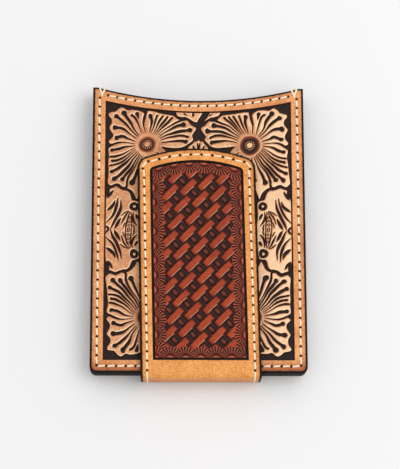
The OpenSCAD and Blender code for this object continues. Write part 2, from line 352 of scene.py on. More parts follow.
petalOutline = [
    (4.6, -0.5), (6.9, -0.9), (9.6, -1.0), (11.9, -0.4), (13.5, 0.8), (14.2, 1.7), (13.9, 2.9),
    (14.8, 4.2), (15.2, 5.4), (13.7, 6.5), (12.8, 7.6), (11.6, 8.3), (10.1, 8.2), (9.0, 9.1),
    (8.0, 9.6), (5.4, 10.0), (2.7, 10.6), (0.4, 10.8), (-0.4, 10.0), (-0.8, 8.4), (-1.0, 10.2),
    (-2.5, 11.2), (-4.6, 11.5), (-6.2, 11.2), (-7.7, 12.1), (-9.0, 11.4), (-9.8, 10.7), (-11.6, 10.3),
    (-11.8, 9.4), (-11.0, 8.1), (-11.0, 6.8), (-11.9, 5.5), (-11.6, 4.5), (-10.9, 3.2), (-11.0, 2.1),
    (-11.9, 1.0), (-11.6, 0.3), (-10.3, -0.2), (-11.9, -1.4), (-11.8, -3.9), (-12.0, -5.8),
    (-11.9, -7.6), (-12.0, -9.9), (-12.3, -12.2), (-11.4, -13.3), (-10.4, -13.1), (-9.4, -12.7),
    (-8.5, -13.0), (-7.6, -13.6), (-6.8, -13.5), (-6.5, -12.6), (-6.1, -13.8), (-5.0, -14.4),
    (-4.1, -15.3), (-3.5, -16.4), (-2.9, -17.4), (-2.3, -16.0), (-1.6, -14.2), (-0.2, -13.3),
    (1.4, -12.6), (3.2, -11.9), (4.2, -11.2), (6.0, -10.4), (7.6, -9.6), (9.6, -8.8), (11.4, -8.0),
    (12.8, -7.0), (11.0, -6.2), (9.4, -5.2), (7.6, -4.0), (6.4, -2.8), (5.4, -1.6), (4.6, -0.8)]
leafOutline = [
    (-12.4, -28.4), (-12.4, -15.7), (-11.7, -14.7), (-10.5, -14.2), (-9.3, -13.8), (-8.3, -14.3),
    (-7.2, -14.7), (-6.2, -14.8), (-5.3, -15.5), (-4.9, -16.8), (-4.5, -17.7), (-3.2, -18.0),
    (-2.2, -18.8), (-2.2, -23.0), (-2.2, -28.4)]
landingOutline = [
    (4.4, -28.4), (4.4, -15.6), (5.4, -13.0), (7.6, -11.6), (10.6, -10.9), (14.0, -10.6), (17.0, -10.6),
    (17.0, -28.4)]
topLeafOutline = [
    (9.3, 9.9), (10.8, 9.2), (12.2, 9.0), (13.3, 8.3), (14.4, 7.6), (15.4, 7.4), (16.4, 7.7),
    (17.0, 8.0), (17.0, 13.0), (9.3, 13.0)]
tipFanOutline = [
    (12.8, -1.7), (13.2, -0.5), (14.0, 0.2), (14.6, 1.1), (15.3, 1.0), (16.0, 1.6), (17.0, 1.4),
    (17.0, -4.0), (12.8, -4.0)]

# Each vein runs outwards from the flower's disc; the number is the half width of its drop
petalVeins = [
    ([(-2.7, 3.0), (-4.3, 5.5), (-5.2, 7.4), (-6.2, 9.0), (-7.1, 10.2)], 0.66),
    ([(-2.0, 3.8), (-2.9, 6.9), (-3.9, 9.0), (-4.8, 9.8)], 0.34),
    ([(-2.6, 8.4), (-3.0, 10.2)], 0.52),
    ([(-3.0, 2.6), (-5.6, 5.5), (-7.5, 7.6), (-9.6, 9.0)], 0.58),
    ([(-3.4, 2.0), (-6.3, 4.2), (-8.2, 5.2), (-10.0, 5.4)], 0.66),
    ([(-3.9, 1.1), (-6.1, 2.0), (-7.7, 2.7), (-9.7, 2.0)], 0.54),
    ([(-4.1, 0.4), (-7.4, 0.7), (-9.8, 0.3), (-12.0, -0.9)], 0.24),
    ([(-4.1, -0.2), (-6.7, -0.8), (-8.8, -1.6), (-10.7, -2.0)], 0.50),
    ([(-3.9, -0.8), (-7.4, -3.0), (-9.6, -4.0), (-11.4, -4.2)], 0.24),
    ([(-3.7, -1.3), (-6.6, -3.7), (-8.9, -5.1), (-10.8, -5.4)], 0.36),
    ([(-3.4, -1.7), (-6.2, -4.4), (-8.5, -6.2), (-11.5, -6.9)], 0.24),
    ([(-3.0, -2.2), (-5.7, -5.1), (-8.4, -7.5), (-11.0, -9.0)], 0.48),
    ([(-2.6, -2.6), (-4.9, -5.7), (-7.4, -8.7), (-10.2, -11.2)], 0.58),
    ([(-2.2, -3.0), (-4.2, -6.4), (-6.2, -9.1), (-7.8, -11.3)], 0.58),
    ([(-1.9, -3.4), (-3.5, -6.6), (-5.4, -9.6), (-6.2, -11.8), (-6.3, -13.4)], 0.26),
    ([(-1.5, -3.8), (-2.7, -7.6), (-3.8, -10.2), (-4.6, -12.1)], 0.72),
    ([(-0.7, 3.9), (-1.1, 6.5), (-0.8, 8.5), (-0.4, 10.3)], 0.34),
    ([(0.7, 4.1), (1.2, 6.4), (1.4, 7.8), (1.1, 9.2)], 0.58),
    ([(1.2, 4.0), (2.3, 6.8), (3.3, 9.6)], 0.18),
    ([(1.8, 3.8), (3.6, 7.0), (4.9, 9.4)], 0.22),
    ([(2.2, 3.6), (4.6, 6.7), (6.4, 9.1)], 0.26),
    ([(2.6, 3.4), (5.4, 6.4), (7.9, 8.9)], 0.26),
    ([(3.1, 3.1), (6.0, 5.6), (8.4, 7.0), (10.4, 7.9), (12.0, 8.0)], 0.28),
    ([(3.4, 2.5), (6.8, 4.9), (9.3, 6.1), (11.2, 6.5)], 0.64),
    ([(3.8, 2.0), (6.8, 3.5), (9.9, 4.4), (13.2, 4.7)], 0.66),
    ([(4.0, 1.4), (7.2, 2.7), (10.4, 3.1), (12.4, 2.4)], 0.34),
    ([(4.2, 0.7), (7.6, 1.3), (10.4, 1.2), (12.0, 0.9)], 0.50),
    ([(-0.5, -4.0), (-0.9, -8.0), (-1.2, -11.4)], 0.56),
    ([(0.5, -4.0), (1.2, -7.6), (1.8, -10.8)], 0.56),
    ([(1.4, -3.8), (3.4, -7.0), (4.6, -9.4)], 0.52),
    ([(2.4, -3.3), (5.6, -6.0), (7.6, -8.2)], 0.52),
    ([(3.2, -2.5), (6.6, -5.0), (10.6, -7.0)], 0.48)]
# Plain cuts in the leaves: the points and the half width
leafCuts = [
    ([(-12.6, -13.9), (-11.9, -15.0), (-12.1, -16.2), (-12.7, -17.2)], 0.42),
    ([(-10.4, -15.0), (-11.2, -16.2), (-12.1, -17.4)], 0.38),
    ([(-9.8, -18.2), (-10.3, -19.7), (-11.3, -20.7), (-12.4, -21.4)], 0.44),
    ([(-8.9, -17.3), (-9.3, -19.7), (-10.2, -22.3), (-12.5, -25.0)], 0.36),
    ([(-7.9, -17.9), (-8.1, -20.2), (-9.0, -22.8), (-10.2, -25.0), (-11.1, -27.2)], 0.42),
    ([(-8.1, -23.8), (-9.0, -25.4), (-10.0, -27.1)], 0.42),
    ([(-12.5, -26.2), (-11.4, -27.5)], 0.30),
    ([(-4.9, -21.6), (-4.8, -23.4), (-4.7, -25.4), (-4.8, -27.6)], 0.20),
    ([(-5.2, -21.8), (-6.0, -23.4), (-6.4, -25.4), (-6.4, -27.6)], 0.22),
    ([(-5.4, -21.5), (-6.4, -22.4), (-7.2, -23.8), (-7.8, -25.4)], 0.24),
    ([(-5.6, -21.3), (-6.8, -21.8), (-8.0, -22.8)], 0.18),
    ([(-6.8, -25.0), (-7.3, -26.6)], 0.16),
    ([(-4.2, -21.7), (-4.3, -23.2), (-3.9, -24.8), (-3.0, -25.9)], 0.32),
    ([(-3.5, -22.2), (-2.7, -23.8)], 0.34),
    ([(-4.2, -25.6), (-3.9, -26.7), (-4.2, -27.8)], 0.22),
    ([(14.3, 10.3), (14.4, 9.0)], 0.30),
    ([(11.6, 10.4), (12.6, 9.6)], 0.2),
    ([(15.0, -2.4), (14.2, -0.3)], 0.26),
    ([(16.0, -2.4), (15.6, 0.6)], 0.24)]
seedRings = [(-3.85, -19.8, 0.96, 0.48)]        # x, y, radius and half width of the ring
podBeads = [(-5.35, -23.4), (-5.5, -24.6), (-5.55, -25.8), (-5.55, -27.0)]
# One cut that isn't repeated in the other corners: from the foot's middle, with its half widths
mouthCut = ([(2.9, 83.2), (1.9, 81.3), (0.5, 79.4)], (1.05, 1.05, 0.8))


def carvingGaps(x, y, u, v):
    # distances inside the carved shapes and outside the cuts in them
    shapes = np.full(u.shape, -2.5)
    for outline in (petalOutline, leafOutline, landingOutline, topLeafOutline, tipFanOutline):
        shapes = np.maximum(shapes, outlineGap(u, v, curveThrough(outline, 4, closed=True)))
    cuts = np.full(u.shape, 2.0)
    for points, drop in petalVeins:
        line = curveThrough(points)
        lineGap(u, v, line, np.array(carving["veinHalves"]) * min(1, 0.5 + drop), cuts)
        tip = line[-1]
        inward = (line[-1] - line[-3]) / np.linalg.norm(line[-1] - line[-3])
        lineGap(u, v, np.array([tip - inward * drop * 1.9, tip]), (0.34, 1.26 * drop), cuts)
    for points, half in leafCuts:
        lineGap(u, v, curveThrough(points), (0.10, 0.9 * half, 1.15 * half, half, 0.10), cuts)
    for cx, cy, radius, half in seedRings:
        fromSeed = np.hypot(u - cx, v - cy)
        cuts = np.where(fromSeed < radius + half + 0.3, np.abs(fromSeed - radius) - half, cuts)
    for cx, cy in podBeads:
        fromBead = np.abs(np.hypot(u - cx, v - cy) - carving["podBead"])
        cuts = np.minimum(cuts, fromBead - carving["podBeadHalf"])
    lineGap(x, y, curveThrough(mouthCut[0]), mouthCut[1], cuts)
    return shapes, cuts


def carve(x, y):
    # height, black dye with painted shade, and pale tone with painted highlight of the carved field, for
    # places in millimetres
    wobbleX = 0.14 * np.sin(0.47 * y + 0.9) + 0.09 * np.sin(1.3 * x + 0.7 * y)
    wobbleY = 0.14 * np.sin(0.52 * x - 0.4) + 0.09 * np.sin(1.1 * y - 0.8 * x + 2.0)
    u = carving["flowerX"] - np.abs(x + wobbleX * smooth(0.0, 3.0, np.abs(x)))
    v = np.abs(y + wobbleY - carving["middleY"]) - carving["flowerY"]
    fromMiddle = np.hypot(u, v)
    shapes, cuts = (gaps.reshape(x.shape) for gaps in carvingGaps(*(p.ravel() for p in (x, y, u, v))))
    # the disc in the flower's middle is free of veins
    cuts = np.where(fromMiddle < carving["discRadius"], 2.0, cuts)
    gap = np.minimum(cuts, shapes)
    height = -carving["cutDepth"] * smooth(0.10, -0.20, cuts)
    height = np.minimum(height, -carving["groundDepth"] * smooth(0.10, -0.22, shapes))
    height += carving["swell"] * bellCurve(gap, 0.26, 0.16)
    dyeAndShade = smooth(0.05, -0.07, gap)
    # painted highlight on the cut edges that face the light at the lower right, painted shade beside the
    # others; a small even part of the pale rim and of the brown is the antique finish
    slopeX = np.gradient(gap, axis=1) / np.gradient(x, axis=1)
    slopeY = np.gradient(gap, axis=0) / np.gradient(y, axis=0)
    facing = smooth(-0.3, 0.7, (0.45 * -slopeX + 0.9 * slopeY) / np.maximum(np.hypot(slopeX, slopeY), 0.2))
    band = bellCurve(gap, 0.18, 0.16)
    paleAndHighlight = band * (0.15 + 0.85 * facing)
    # painted shade: brown beside the cuts, mostly on the edges turned away from the light
    shade = bellCurve(gap, 0.14, 0.18)
    dyeAndShade = np.maximum(dyeAndShade, carving["shade"] * shade * (1 - 0.8 * facing))
    # dish, ring of beads and button
    r = fromMiddle
    dish = smooth(carving["discRadius"] + 0.2, 1.9, r)
    height -= carving["dishDepth"] * dish * smooth(0.6, 1.6, r)
    beadAngle = np.arctan2(v, u) * carving["beads"] / 2
    beads = bellCurve(r, carving["beadRing"], 0.19) * np.square(np.cos(beadAngle))
    button = smooth(carving["buttonRadius"] + 0.12, carving["buttonRadius"] - 0.15, r)
    height += carving["beadHeight"] * beads + carving["buttonHeight"] * button
    wider = 0.6 * (x > 0)         # the flowers on the right were dyed further out
    darkRing = smooth(3.4 + wider, 1.5 + wider, r) * smooth(0.75, 1.0, r)
    dyeAndShade = np.maximum(dyeAndShade, 0.98 * darkRing * (1 - 0.95 * beads))
    aroundDisc = smooth(7.0, 4.2, r) * (r > carving["discRadius"]) * (shapes > 0)
    dyeAndShade = np.maximum(dyeAndShade, carving["blush"] * aroundDisc)
    paleAndHighlight = np.maximum(paleAndHighlight, 0.95 * beads)
    ground = smooth(0.0, -0.25, shapes) * (fromMiddle > carving["discRadius"])
    stipple = np.sin(7.9 * x + 1.3 * np.sin(5.1 * y)) * np.sin(8.3 * y + 1.1 * np.sin(4.7 * x))
    height += carving["stipple"] * ground * stipple
    dyeAndShade -= carving["stippleRub"] * ground * smooth(0.65, 0.95, stipple)
    # painted shade darkens the leather towards its left side and a painted sheen pales it towards its right
    dyeAndShade = np.maximum(dyeAndShade, carving["leftShade"] * smooth(5, -30, x))
    paleAndHighlight = np.maximum(paleAndHighlight, carving["rightSheen"] * smooth(0, 28, x) * (dyeAndShade < 0.3))
    return height, dyeAndShade, np.clip(paleAndHighlight, 0, 1)


seamShape = dict(grooveDepth=0.12, grooveSpread=0.42, holeRadius=0.37, holeDepth=0.6)


def seamRelief(x, y, fromSeam, holes):
    # a pressed groove under the seam, and painted shade that darkens the hole at each end of a stitch
    height = -seamShape["grooveDepth"] * bellCurve(fromSeam, 0, seamShape["grooveSpread"])
    dyeAndShade = np.zeros(x.shape)
    flatX, flatY, flatHeight, flatHoleShade = x.ravel(), y.ravel(), height.ravel(), dyeAndShade.ravel()
    radius = seamShape["holeRadius"]
    for hole in holes:
        near = nearTo(flatX, flatY, hole[:2], hole[:2], 1.0)
        away = np.hypot(flatX[near] - hole[0], flatY[near] - hole[1])
        flatHeight[near] -= seamShape["holeDepth"] * smooth(radius + 0.08, 0.10, away)
        # painted shade in the needle hole
        flatHoleShade[near] = np.maximum(flatHoleShade[near], smooth(radius + 0.07, radius - 0.05, away))
    return flatHeight.reshape(x.shape), flatHoleShade.reshape(x.shape)


def edgePaint(x, y, away):
    # edge paint laps a little way on to the face, unevenly
    uneven = 0.05 * np.sin(2.1 * y + 1.7 * x) + 0.03 * np.sin(5.3 * y - 4.1 * x)
    return smooth(0.80, 0.62, away + uneven)


edgeAndFootDarkening = dict(edge=0.17, foot=0.24, patchy=0.03)


def darkenEdgeAndFoot(y, away):
    # the border is darker near its edge, and painted shade darkens it more at the foot
    patchy = edgeAndFootDarkening["patchy"] * np.sin(0.31 * y + 1.0) * np.sin(0.9 * away + 0.12 * y)
    darkened = edgeAndFootDarkening["edge"] * smooth(2.2, 0.7, away) + edgeAndFootDarkening["foot"] * smooth(4.6, 1.5, y)
    return darkened + patchy * (away < 3)


print("front and back panels")
caseStitches = stitchesOf("edge_seam_front") + stitchesOf("front_scoop_seam")
backStitches = stitchesOf("edge_seam_back") + stitchesOf("back_scoop_seam")
caseHoles, backHoles = holesOf(caseStitches), holesOf(backStitches)
# Its top lies past the mouth, whose line topEdge gives
caseOutline = (caseHalf, 0, caseHeight + 10, caseShape["cornerRadius"], False)


def caseGrid(columnsX, rowsY):
    # rows and columns that follow the case's outline, from its foot to its scooped mouth
    x, y = np.meshgrid(columnsX, rowsY)
    x, y = roundCorners(x, y, *caseOutline)
    return x, y + (topEdge(x) - caseHeight) * np.clip(y / caseHeight, 0, 1)


def caseEdge(x, y):
    low = edgeDistance(x, y, *caseOutline)
    slope = np.where(np.abs(x) < scoopHalf, x / scoopRadius, 0)
    return np.minimum(low, (topEdge(x) - y) * np.cos(np.arctan(slope)))


def seamLine(x, y):
    # distance from the case's seam, round the sides and the foot and along the mouth
    margin = caseShape["seamMargin"]
    side = np.abs(np.abs(x) - caseHalf + margin) + 9 * ((y < margin) | (y > caseHeight - 3))
    base = np.abs(y - margin) + 9 * (np.abs(x) > caseHalf - margin)
    mouth = np.abs(topEdge(x, caseShape["scoopSeamMargin"]) - y) + 9 * (np.abs(x) > caseHalf - 4.2)
    return np.minimum(np.minimum(side, base), mouth)


def rounded(away, radius):
    # how far a rounded arris drops, at a distance from the outline
    turn = np.clip(1 - away / radius, 0, 1)
    return -radius * (1 - np.sqrt(1 - np.square(turn)))


def makeFrontQuarter(side, upper):
    edge = caseHalf
    field = edge - caseShape["border"]
    fine, border = caseShape["carvingStep"], sheetSteps["border"]
    across = graded([(0, fine), (field + 0.2, border)] + stopsToEnd(edge))
    if upper:
        along = graded([(carving["middleY"], fine), (caseHeight - 3.5, border)] + stopsToEnd(caseHeight))
    else:
        along = graded([(0, sheetSteps["rim"]), (sheetSteps["rimReach"], border), (3.8, fine),
                        (carving["middleY"], 1)])
    x, y = caseGrid(across if side > 0 else -across[::-1], along)
    away = caseEdge(x, y)
    low = np.minimum(edge - np.abs(x), y)
    inField = np.minimum(low - caseShape["border"], topEdge(x, caseShape["topBorder"]) - y)
    carved, dyeAndShade, paleAndHighlight = carve(x, y)
    inside = smooth(-0.12, 0.12, inField)
    rim = smooth(0.60, 0.10, inField) * inside          # the bevelled line round the field
    height = inside * np.minimum(carved - 0.04, -0.04 - caseShape["rimDepth"] * rim)
    dyeAndShade = np.maximum(dyeAndShade * inside, smooth(-0.12, 0.02, inField) * smooth(0.46, 0.30, inField))
    paleAndHighlight = paleAndHighlight * inside
    pressed, holeShade = seamRelief(x, y, seamLine(x, y), caseHoles)
    height += pressed * (1 - inside) + rounded(away, caseShape["roundOver"])
    # painted shade in the needle holes
    dyeAndShade = np.maximum(dyeAndShade, holeShade * (1 - inside))
    # painted shade towards the foot, and darker near the edge
    dyeAndShade = np.maximum(dyeAndShade, darkenEdgeAndFoot(y, away) * (1 - inside))
    top = np.stack([x, y + foot, faceZ + height], -1)
    under = np.stack([x, y + foot, np.full(x.shape, panelLow[2])], -1)
    name = "carvedFront" + ("Upper" if upper else "Lower") + ("Right" if side > 0 else "Left")
    sheet = makeSheet(name, top, under,
                      dict(dyeAndShade=dyeAndShade, paleAndHighlight=paleAndHighlight, paint=edgePaint(x, y, away), carved=inside), "columns")
    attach(sheet, "card_case")
    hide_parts("front_panel")
    return sheet


def makeBackPanel():
    across = stopsAcross(caseHalf, sheetSteps["seamReach"], sheetSteps["seam"], sheetSteps["plain"])
    along = [(0, sheetSteps["rim"]), (sheetSteps["rimReach"], sheetSteps["along"])] + stopsToEnd(caseHeight)
    x, y = caseGrid(graded(across), graded(along))
    away = caseEdge(x, y)
    # the needle holes are darkened with painted shade
    pressed, dyeAndShade = seamRelief(x, y, seamLine(x, y), backHoles)
    height = pressed + rounded(away, caseShape["roundOver"])
    top = np.stack([x, y + foot, backZ - height], -1)
    under = np.stack([x, y + foot, np.full(x.shape, backTop[2])], -1)
    sheet = makeSheet("backPanel", top, under, dict(dyeAndShade=dyeAndShade, paint=edgePaint(x, y, away)), "columns")
    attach(sheet, "card_case")
    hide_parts("back_panel")
    return sheet


frontQuarters = [makeFrontQuarter(side, upper) for side in (-1, 1) for upper in (False, True)]
backPanel = makeBackPanel()

# The strap: where a place along its length lies once it is folded

strapShape = dict(lean=0.0207, offset=0.63, archRadius=45.0, cornerRadius=2.8, border=3.95,
                  fieldCorner=0.9, weaveFoot=3.7, seamMargin=2.0, roundOver=0.42, liningRoundOver=0.25,
                  skive=0.5, skiveReach=9.0, pitch=2.9, stampStep=0.122, rimDepth=0.42)
wallTop, wallLow = foldHigh[2], foldLow[2]
wallHalf = (wallTop - wallLow) / 2
wallMiddle = (wallTop + wallLow) / 2
bendRadius = foot - foldLow[1] - strapThickness / 2     # of the strap's middle
flapStart = wallHalf + bendRadius * math.pi / 2         # from the fold's middle to where it lies flat


def foldedPlace(x, s, h, tail=False):
    # x across, s along the strap from the fold's middle, h out from the strap's middle
    x, s, h = np.broadcast_arrays(x, s, h)
    turn = np.clip((s - wallHalf) / bendRadius, 0, math.pi / 2)
    y = -(bendRadius + h) * np.cos(turn) + np.maximum(s - flapStart, 0)
    z = np.minimum(s, wallHalf) + (bendRadius + h) * np.sin(turn)
    lean = strapShape["offset"] + strapShape["lean"] * (flapStart - (0 if tail else s))
    return np.stack([x + lean, y + foot, wallMiddle + (-z if tail else z)], -1)


def archLine(x, reach, inset=0.0):
    # length along the strap to its arched tip
    radius = strapShape["archRadius"] - inset
    return flapStart + reach - inset - radius + np.sqrt(np.maximum(radius ** 2 - np.square(x), 0))


def strapGrid(reach, xStops, sStops):
    full = flapStart + reach
    x, s = np.meshgrid(graded(xStops), graded(sStops))
    x, s = roundCorners(x, s, strapHalf, 0, full, strapShape["cornerRadius"], True)
    return x, s + (archLine(x, reach) - full) * np.clip(s / full, 0, 1) ** 6


def strapEdge(x, s, reach, inset=0.0, corner=None):
    # distance inside the strap's outline, or inside one that is taken in
    top = s - archLine(x, reach, inset) + flapStart + reach - inset
    return edgeDistance(x, top, strapHalf - inset, -30, flapStart + reach - inset,
                        corner or strapShape["cornerRadius"], True)


def skiveAt(s):
    # the leather is pared thinner where it bends
    return strapShape["skive"] * smooth(strapShape["skiveReach"], 0.5, s)


# The basket stamp and the fans round it

basket = dict(angle=43.5, barLength=6.9, barWidth=2.1, rowPitch=2.6, barPitch=10.5, patch=1.3,
              fanPitch=4.6, fanRadius=3.6, lensAcross=1.4, lensDeep=0.9, rays=21, shiftU=-0.96,
              shiftV=0.63, sideFan=2.1, tipFan=2.25, footFan=0.0, barDepth=0.46, crown=0.36, endDip=0.16,
              grooveDepth=0.52, strandDepth=0.30, boxDepth=0.56)


def basketStamp(x, y):
    # height, dark dye with painted shade, and light tone with painted highlight of the basket pattern at
    # places on the flap
    turn = math.radians(basket["angle"])
    u = x * math.cos(turn) + y * math.sin(turn) + basket["shiftU"]
    v = -x * math.sin(turn) + y * math.cos(turn) + basket["shiftV"]
    row = np.floor(v / basket["rowPitch"] + 0.5)
    across = v - row * basket["rowPitch"]
    along = u - (row % 2) * basket["barPitch"] / 2
    along -= np.floor(along / basket["barPitch"] + 0.5) * basket["barPitch"]
    reach = np.abs(along)
    endGap = basket["barLength"] / 2 - reach
    half = basket["barWidth"] / 2 - 0.07 * smooth(0.5, 0.0, endGap)
    bar = np.minimum(endGap, half - np.abs(across))
    crown = 1 - np.abs(np.clip(across / half, -1, 1)) ** 3
    height = basket["crown"] * np.sqrt(np.clip(crown, 0, 1)) - basket["barDepth"]
    height -= basket["endDip"] * smooth(1.6, 0.0, endGap)
    height = np.where(bar > 0, height, -basket["grooveDepth"])
    dyeAndShade = 0.62 * smooth(1.0, 0.1, endGap) * (bar > 0)
    # painted highlight along the middle of each bar's lower-right side, where the light falls
    paleAndHighlight = 0.8 * bellCurve(bar, 0.09, 0.07) * (across < 0) * smooth(2.8, 1.9, reach)
    # between the bars of a row a strand shows, with a dark box at each side of it
    gapMiddle = basket["barPitch"] / 2 - reach
    patch = basket["patch"] / 2 - gapMiddle
    ribs = np.sin(across * 15)
    onPatch = (bar <= 0) & (patch > 0) & (endGap < 0)
    patchDye = 0.44 + 0.5 * smooth(0.25, 0.0, patch) + 0.5 * smooth(0.6, 1.1, np.abs(across))
    height = np.where(onPatch, 0.10 * smooth(0, 0.4, patch) + 0.02 * ribs - basket["strandDepth"], height)
    dyeAndShade = np.where(onPatch, patchDye + 0.28 * (ribs < -0.2), dyeAndShade)
    paleAndHighlight = np.where(onPatch, 0.34 * (ribs > 0.3) * smooth(0.9, 0.4, np.abs(across)), paleAndHighlight)
    inBox = (bar <= 0) & (patch <= 0) & (endGap < 0)
    boxMiddle = (basket["patch"] / 2 + (basket["barPitch"] - basket["barLength"]) / 2) / 2
    wire = bellCurve(gapMiddle, boxMiddle, 0.10)
    height = np.where(inBox, 0.10 * wire - basket["boxDepth"], height)
    dyeAndShade = np.where(inBox, 0.95 - 0.12 * wire, dyeAndShade)
    paleAndHighlight = np.where(inBox, 0.5 * wire, paleAndHighlight)
    # where two bars lie side by side a double black line parts them
    fromLine = basket["rowPitch"] / 2 - np.abs(across)
    lines = (bar <= 0) & (endGap >= 0)
    dyeAndShade = np.where(lines, 1.0 - 0.3 * smooth(0.09, 0.02, fromLine) * (endGap > 0.3), dyeAndShade)
    # a painted shade line wraps round each end of a bar on the side away from the light, with a pale rim
    # beyond it
    shadedEnd = (np.where(along < 0, across, -across) > -0.35) * smooth(1.3, 1.6, reach)
    dyeAndShade = np.maximum(dyeAndShade, smooth(0.28, 0.13, np.abs(bar)) * shadedEnd)
    paleAndHighlight = np.maximum(paleAndHighlight, 0.35 * bellCurve(bar, -0.30, 0.06) * shadedEnd)
    dyeAndShade = np.minimum(dyeAndShade, 1 - 0.3 * bellCurve(bar, -0.30, 0.07) * shadedEnd)
    return height, np.clip(dyeAndShade, 0, 1), paleAndHighlight


def fanStamp(along, away, height, dyeAndShade, paleAndHighlight):
    # a row of fans whose feet stand on the field's edge
    s = along - np.floor(along / basket["fanPitch"] + 0.5) * basket["fanPitch"]
    r = np.hypot(s, away)
    lens = np.hypot(s / basket["lensAcross"], away / basket["lensDeep"])
    rays = np.cos(np.arctan2(away, s) * basket["rays"])
    inFan = (r < basket["fanRadius"]) & (away > -0.5)
    rayed = smooth(1.55, 1.8, r) * smooth(basket["fanRadius"], basket["fanRadius"] - 0.3, r)
    fanHeight = -0.24 + 0.10 * rays * rayed - 0.14 * smooth(1.6, 1.2, r)
    fanDye = 0.08 + 0.92 * smooth(0.35, -0.05, rays) * rayed
    fanDye = np.maximum(fanDye, 0.85 * smooth(1.7, 1.4, r) * smooth(0.95, 1.05, lens))
    fanPaleAndHighlight = 0.12 * (rays > 0.45) * rayed
    onLens = lens < 1
    fanHeight = np.where(onLens, -0.10 - 0.25 * np.square(lens), fanHeight)
    fanDye = np.where(onLens, 0.10 + 0.8 * smooth(0.85, 1.0, lens), fanDye)
    # painted highlight in the middle of each fan's lens
    fanPaleAndHighlight = np.where(onLens, 0.22 * smooth(0.9, 0.3, lens), fanPaleAndHighlight)
    return (np.where(inFan, fanHeight, height), np.where(inFan, fanDye, dyeAndShade),
            np.where(inFan, fanPaleAndHighlight, paleAndHighlight))


def makeFlapFront(part, sStops):
    reach, half, inset = flapReach, strapHalf, strapShape["border"]
    across = stopsAcross(half, inset - 0.2, sheetSteps["border"], strapShape["stampStep"])
    x, s = strapGrid(reach, across, sStops)
    y = s - flapStart
    away = strapEdge(x, s, reach)
    inField = np.minimum(strapEdge(x, s, reach, inset, strapShape["fieldCorner"]),
                         y - strapShape["weaveFoot"])
    height, dyeAndShade, paleAndHighlight = basketStamp(x, y)
    slope = np.arcsin(np.clip(x / strapShape["archRadius"], -1, 1))
    archAway = (archLine(x, reach, inset) - s) * np.cos(slope)
    fans = ((y - basket["sideFan"], half - inset - x), (y - basket["sideFan"], half - inset + x),
            (x - basket["tipFan"], archAway), (x - basket["footFan"], y - strapShape["weaveFoot"]))
    for along, fromEdge in fans:
        height, dyeAndShade, paleAndHighlight = fanStamp(along, fromEdge - 0.5, height, dyeAndShade, paleAndHighlight)
    inside = smooth(-0.10, 0.10, inField)
    rim = smooth(0.80, 0.3, inField) * inside
    height = inside * np.minimum(height - 0.06, -0.10 - strapShape["rimDepth"] * rim)
    dyeAndShade = np.maximum(dyeAndShade * inside, smooth(-0.22, -0.08, inField) * smooth(0.78, 0.52, inField))
    paleAndHighlight = paleAndHighlight * inside
    pressed, holeShade = seamRelief(x, y, np.abs(away - strapShape["seamMargin"]), flapHoles)
    height += pressed * (1 - inside) + rounded(away, strapShape["roundOver"])
    # painted shade in the needle holes
    dyeAndShade = np.maximum(dyeAndShade, holeShade * (1 - inside))
    dyeAndShade = np.maximum(dyeAndShade, darkenEdgeAndFoot(y + 60, away) * (1 - inside))
    top = foldedPlace(x, s, strapThickness / 2 - skiveAt(s) + height)
    under = foldedPlace(x, s, liningThickness - strapThickness / 2)
    sheet = makeSheet("flapFront" + part, top, under,
                      dict(dyeAndShade=dyeAndShade, paleAndHighlight=paleAndHighlight, paint=edgePaint(x, s, away), stamped=inside))
    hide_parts("flap_cover", "fold_cover")
    return sheet


def makeStrapLayer(name, reach, tail, outer, inner, holes, skived, *nodes):
    # one layer of the strap, on one side of the fold's middle: outer is the side that shows
    across = stopsAcross(strapHalf, sheetSteps["seamReach"], sheetSteps["seam"], sheetSteps["plain"])
    x, s = strapGrid(reach, across, [(0, sheetSteps["along"])] + stopsToEnd(flapStart + reach))
    away = strapEdge(x, s, reach)
    # the needle holes are darkened with painted shade
    pressed, dyeAndShade = seamRelief(x, s - flapStart, np.abs(away - strapShape["seamMargin"]), holes)
    isLeather = outer > inner
    height = pressed + rounded(away, strapShape["roundOver" if isLeather else "liningRoundOver"])
    face = outer - skiveAt(s) * skived + height * (1 if isLeather else -1)
    top = foldedPlace(x, s, face, tail)
    under = foldedPlace(x, s, inner, tail)
    sheet = makeSheet(name, top, under, dict(dyeAndShade=dyeAndShade, paint=edgePaint(x, s, away)))
    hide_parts(*nodes)
    return sheet


print("strap")
flapStitches = stitchesOf("flap_seam_front")
flapBackStitches = stitchesOf("flap_seam_back")
tailStitches = stitchesOf("tail_seam")
flapHoles, flapBackHoles, tailHoles = (holesOf(s) for s in (flapStitches, flapBackStitches, tailStitches))


def foldPlaces(holes):
    # the seam runs on round the fold: places from the last hole of one side to the fold's middle
    last = min(hole[1] for hole in holes)
    return np.arange(last, -flapStart - 1.5, -strapShape["pitch"])


def withFoldHoles(holes):
    extra = [(side * (strapHalf - strapShape["seamMargin"]), y, 0) for y in foldPlaces(holes)[1:]
             for side in (-1, 1)]
    return np.vstack([holes, extra])


